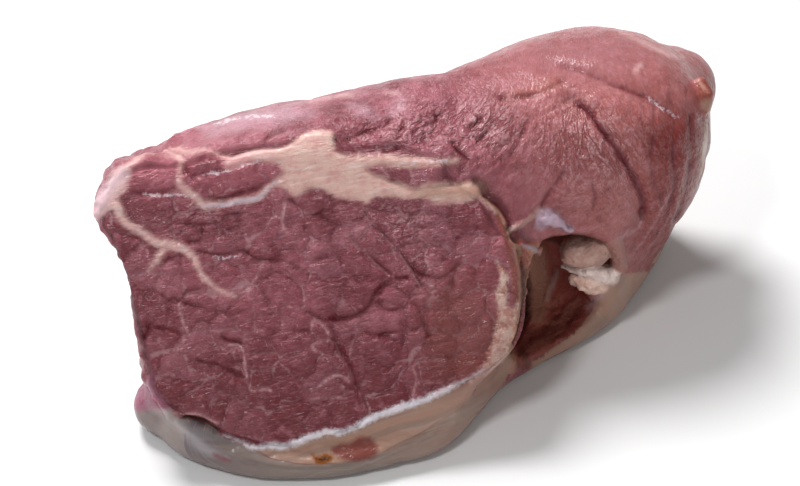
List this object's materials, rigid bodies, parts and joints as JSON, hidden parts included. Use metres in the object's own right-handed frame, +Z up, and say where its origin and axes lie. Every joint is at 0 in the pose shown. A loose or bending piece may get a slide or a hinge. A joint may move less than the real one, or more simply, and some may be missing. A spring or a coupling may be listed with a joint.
{
  "type": "beef tenderloin steak",
  "caption": "Thick raw boneless beef tenderloin piece with a flat cut face in front, a lobe set back on the right, an open recess between them and silverskin underneath.",
  "frame": {"origin": "on the board, under the middle of the piece's box", "axes": "+X to the right along the length, seen from the cut face; +Y to the back; +Z up"},
  "size_m": [0.139, 0.0994, 0.0629],
  "materials": {
    "raw_beef": "raw beef: moist, softly glossy dull red lean with cream fat seams, and a pale pearly silverskin round the base"
  },
  "bodies": {
    "root": {"beef_tenderloin": "raw_beef"}
  },
  "joints": []
}
